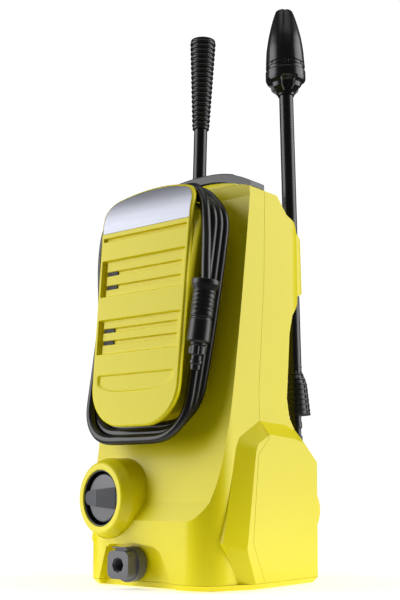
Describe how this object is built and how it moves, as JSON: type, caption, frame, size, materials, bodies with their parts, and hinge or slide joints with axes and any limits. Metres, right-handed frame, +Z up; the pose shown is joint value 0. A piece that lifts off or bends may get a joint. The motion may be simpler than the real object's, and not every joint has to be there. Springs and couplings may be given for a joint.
{
  "type": "pressure washer",
  "caption": "Compact upright electric pressure washer with a hose wound behind its front panel, a round switch, a front outlet and two lances stowed at the back.",
  "frame": {"origin": "on the ground, midway across the width and depth of the machine without its hose", "axes": "+Z up, front towards -Y, +X to the right as the front is faced"},
  "size_m": [0.2, 0.2101, 0.6511],
  "materials": {
    "badge_metal": "brushed along its width",
    "black_gloss": "moulded polypropylene, semi-gloss",
    "black_plastic": "moulded polyamide, satin",
    "brass_part": "turned",
    "capacitor_blue": "moulded",
    "carbon": "pressed carbon",
    "copper": "enamelled winding wire",
    "die_cast": "die cast",
    "filter_mesh": "moulded mesh",
    "grey_plastic": "moulded, satin",
    "hose_pvc": "extruded PVC, satin",
    "lamination": "varnished stack",
    "rubber_black": "moulded rubber",
    "shell_yellow": "moulded ABS, satin gloss",
    "steel": "turned"
  },
  "bodies": {
    "housing": {"front_shell": "shell_yellow", "rear_shell": "shell_yellow", "base_tray": "shell_yellow", "rubber_feet": "rubber_black", "hose_hub": "shell_yellow", "hose_panel": "shell_yellow", "badge_plate": "badge_metal", "switch_collar": "shell_yellow", "switch_liner": "black_plastic", "switch_box": "grey_plastic", "outlet_body": "grey_plastic", "outlet_seal": "rubber_black", "inlet_spigot": "black_plastic", "inlet_filter": "filter_mesh", "cable_gland": "rubber_black", "cable_cleat": "shell_yellow", "lance_clips": "black_plastic", "lance_sockets": "black_plastic", "handle_guides": "grey_plastic", "motor_frame": "die_cast", "stator_core": "lamination", "field_windings": "copper", "carbon_brushes": "carbon", "motor_bearings": "steel", "pump_case": "die_cast", "pump_head": "grey_plastic", "pump_pistons": "steel", "piston_springs": "steel", "pump_valves": "brass_part", "pressure_switch": "grey_plastic", "noise_capacitor": "capacitor_blue", "suction_pipe": "rubber_black", "pressure_pipe": "steel", "motor_mounts": "rubber_black", "housing_screws": "steel", "panel_screws": "steel", "hose_coil": "hose_pvc", "hose_tail": "hose_pvc", "hose_coupling": "black_plastic", "hose_gun_end": "black_plastic", "top_trim": "shell_yellow"},
    "handle": {"carry_handle": "black_gloss", "handle_grip": "rubber_black"},
    "knob": {"switch_knob": "grey_plastic", "switch_spindle": "black_plastic"},
    "clip": {"outlet_clip": "grey_plastic"},
    "motor_rotor": {"rotor_core": "lamination", "rotor_shaft": "steel", "commutator": "copper", "cooling_fan": "black_plastic", "wobble_plate": "steel"},
    "spray_lance": {"spray_lance_tube": "black_gloss", "spray_core": "brass_part", "spray_lance_grip": "black_plastic"},
    "spray_twist": {"spray_sleeve": "black_plastic"},
    "rotor_lance": {"rotor_lance_tube": "black_gloss", "rotor_lance_grip": "black_plastic", "rotor_hood": "black_gloss", "rotor_ring": "black_gloss"},
    "jet_rotor": {"rotor_nozzle": "brass_part"}
  },
  "joints": [
    {"name": "handle_slide", "type": "slide", "parent": "housing", "child": "handle", "axis": [0, 0, 1], "range_m": [0, 0.042]},
    {"name": "switch_turn", "type": "hinge", "parent": "housing", "child": "knob", "pos_m": [-0.05, -0.0937, 0.088], "axis": [-0.1392, -0.9903, 0], "range_deg": [-90, 0]},
    {"name": "clip_press", "type": "slide", "parent": "housing", "child": "clip", "axis": [0, 0, -1], "range_m": [0, 0.002], "stiffness_N_per_m": 600},
    {"name": "motor_spin", "type": "hinge", "parent": "housing", "child": "motor_rotor", "pos_m": [0, 0.018, 0.16], "axis": [0, 0, 1], "continuous": true},
    {"name": "spray_lift", "type": "slide", "parent": "housing", "child": "spray_lance", "axis": [0.0332, 0, 0.9995], "range_m": [0, 0.07]},
    {"name": "spray_twist_turn", "type": "hinge", "parent": "spray_lance", "child": "spray_twist", "pos_m": [-0.05944, 0.083, 0.58968], "axis": [0.0332, 0, 0.9995], "range_deg": [0, 150]},
    {"name": "rotor_lift", "type": "slide", "parent": "housing", "child": "rotor_lance", "axis": [-0.0152, 0, 0.9999], "range_m": [0, 0.07]},
    {"name": "jet_rotor_spin", "type": "hinge", "parent": "rotor_lance", "child": "jet_rotor", "pos_m": [0.06634, 0.083, 0.58993], "axis": [-0.0152, 0, 0.9999], "continuous": true}
  ]
}
